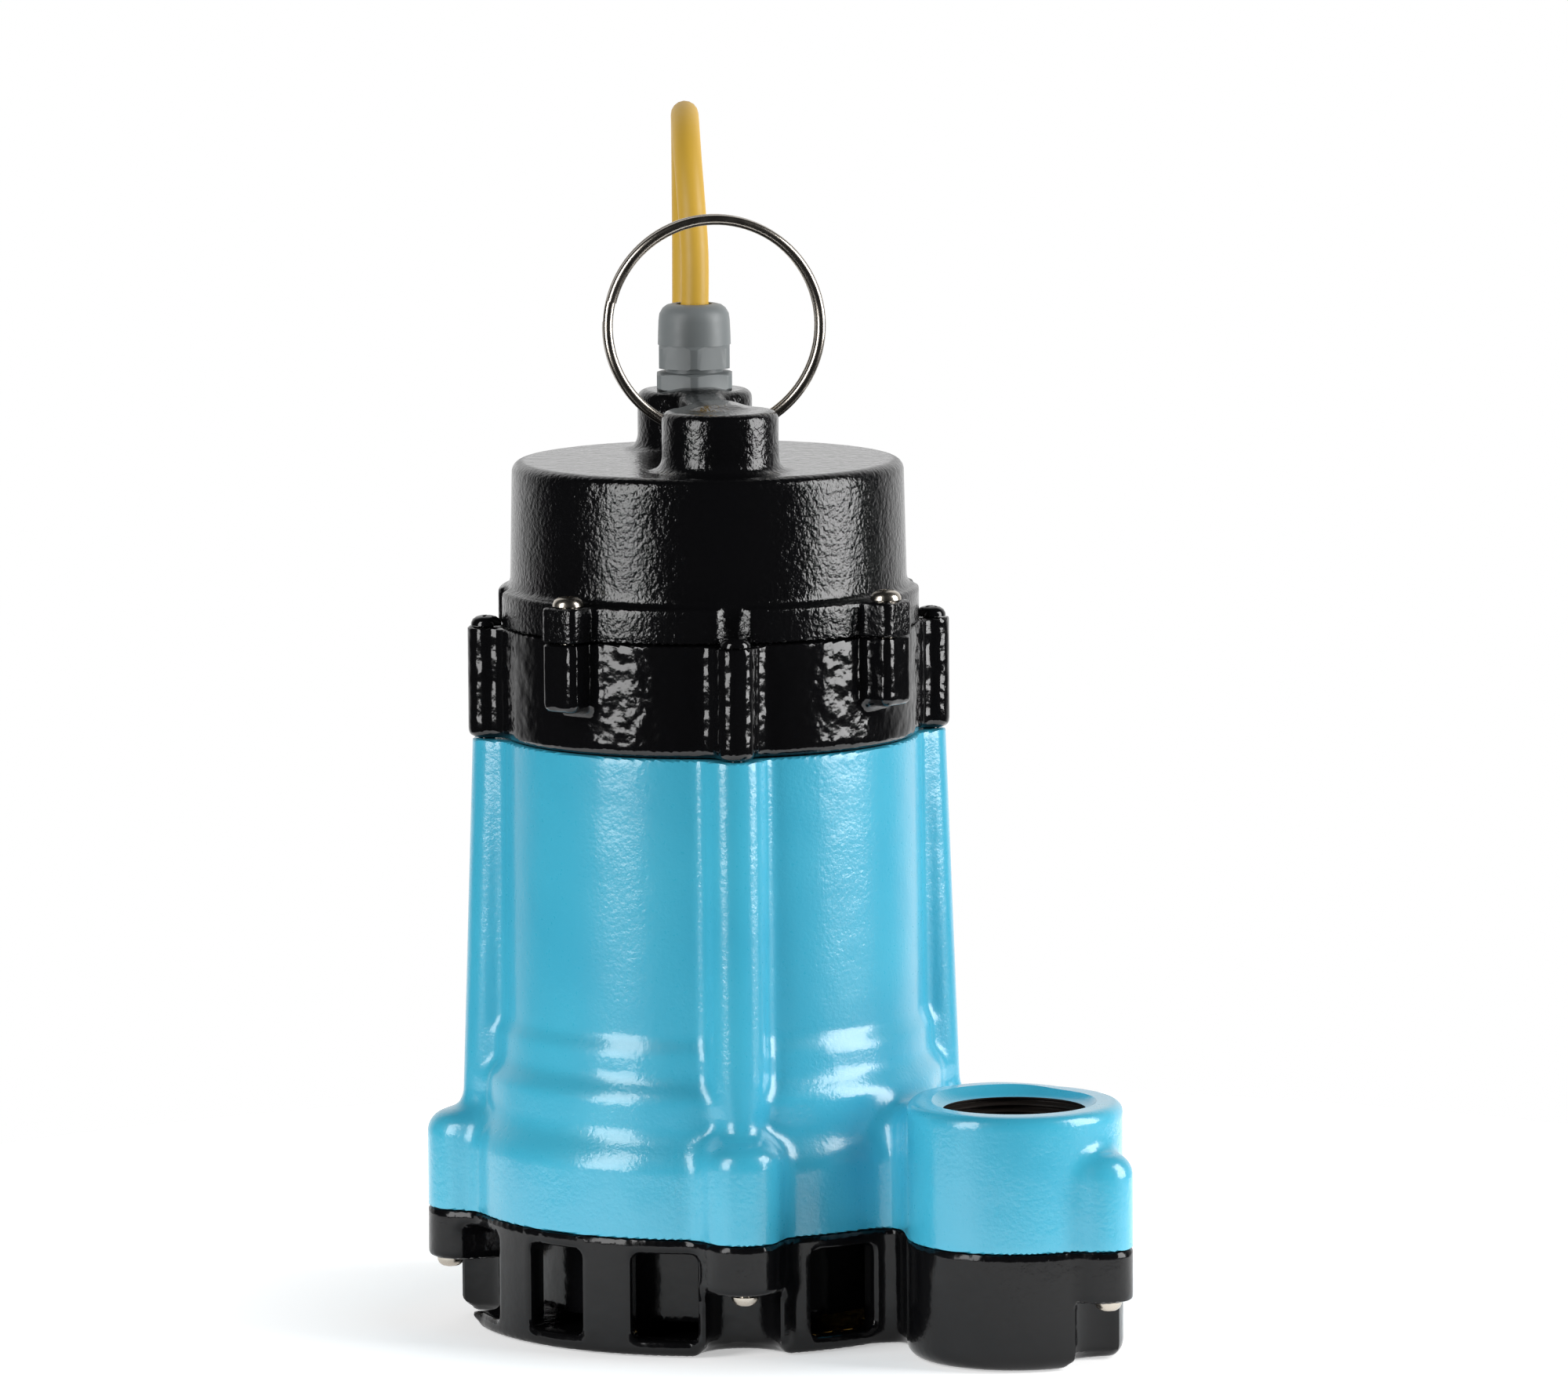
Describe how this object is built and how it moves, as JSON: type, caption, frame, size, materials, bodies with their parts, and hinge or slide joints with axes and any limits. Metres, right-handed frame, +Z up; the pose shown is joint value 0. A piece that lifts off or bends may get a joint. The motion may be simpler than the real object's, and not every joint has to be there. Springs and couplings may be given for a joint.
{
  "type": "submersible sump pump",
  "caption": "Upright submersible pump: black strainer base, blue cast housing with side discharge, black bearing bracket and cap, lift ring, cable gland and coiled yellow cord.",
  "frame": {"origin": "on the shaft axis at the underside of the base", "axes": "+Z up along the shaft axis, +X from the shaft to the discharge"},
  "size_m": [0.299, 0.2743, 0.3754],
  "materials": {
    "blue_enamel": "gloss",
    "black_enamel": "gloss",
    "stainless": "polished",
    "plated_wire": "satin",
    "grey_nylon": "satin",
    "yellow_jacket": "satin",
    "silicon_steel": "satin",
    "copper": "satin",
    "aluminium": "satin",
    "bearing_steel": "polished",
    "ceramic": "satin",
    "black_rubber": "matte",
    "brass": "polished",
    "grey_can": "satin",
    "bare_iron": "matte",
    "black_plastic": "matte",
    "lead_black": "matte",
    "lead_white": "matte",
    "lead_green": "matte"
  },
  "bodies": {
    "pump_body": {"base_strainer": "black_enamel", "pump_housing": "blue_enamel", "bearing_bracket": "black_enamel", "top_cap": "black_enamel", "cap_screw_1": "stainless", "cap_screw_2": "stainless", "cap_screw_3": "stainless", "cap_screw_4": "stainless", "bracket_screw_1": "black_enamel", "bracket_screw_2": "black_enamel", "bracket_screw_3": "black_enamel", "bracket_screw_4": "black_enamel", "base_screw_1": "stainless", "base_screw_2": "stainless", "base_screw_3": "stainless", "base_screw_4": "stainless", "base_screw_5": "stainless", "gland_body": "grey_nylon", "gland_nut": "grey_nylon", "gland_seal": "black_rubber", "cord_rise": "yellow_jacket", "cord_coil": "yellow_jacket", "cord_tail": "yellow_jacket", "cord_entry": "yellow_jacket", "coil_tie": "black_rubber", "plug_body": "black_rubber", "plug_blade_1": "brass", "plug_blade_2": "brass", "plug_ground_pin": "brass", "stator_core": "silicon_steel", "winding_lower": "copper", "winding_upper": "copper", "thermal_protector": "black_plastic", "seal_seat": "ceramic", "lower_bearing_outer_race": "bearing_steel", "upper_bearing_outer_race": "bearing_steel", "housing_o_ring": "black_rubber", "cap_o_ring": "black_rubber", "run_capacitor": "grey_can", "capacitor_strap": "stainless", "lead_live": "lead_black", "lead_neutral": "lead_white", "lead_earth": "lead_green"},
    "rotor": {"motor_shaft": "stainless", "rotor_core": "silicon_steel", "rotor_end_ring_lower": "aluminium", "rotor_end_ring_upper": "aluminium", "impeller": "bare_iron", "impeller_nut": "brass", "seal_head": "black_rubber", "seal_spring": "stainless", "lower_bearing_inner_race": "bearing_steel", "upper_bearing_inner_race": "bearing_steel"},
    "lower_balls": {"lower_bearing_balls": "bearing_steel"},
    "upper_balls": {"upper_bearing_balls": "bearing_steel"},
    "lift_ring": {"lift_ring": "plated_wire"}
  },
  "joints": [
    {"name": "rotor_spin", "type": "hinge", "parent": "pump_body", "child": "rotor", "pos_m": [0, 0, 0.12], "axis": [0, 0, 1], "continuous": true},
    {"name": "lower_balls_spin", "type": "hinge", "parent": "pump_body", "child": "lower_balls", "pos_m": [0, 0, 0.0843], "axis": [0, 0, 1], "continuous": true},
    {"name": "upper_balls_spin", "type": "hinge", "parent": "pump_body", "child": "upper_balls", "pos_m": [0, 0, 0.1958], "axis": [0, 0, 1], "continuous": true},
    {"name": "lift_ring_swing", "type": "hinge", "parent": "pump_body", "child": "lift_ring", "pos_m": [0, 0, 0.2776], "axis": [0.7071, 0.7071, 0], "range_deg": [-24, 88]}
  ],
  "couplings": [
    {"joint": "lower_balls_spin", "follows": "rotor_spin", "ratio": 0.395},
    {"joint": "upper_balls_spin", "follows": "rotor_spin", "ratio": 0.396}
  ]
}
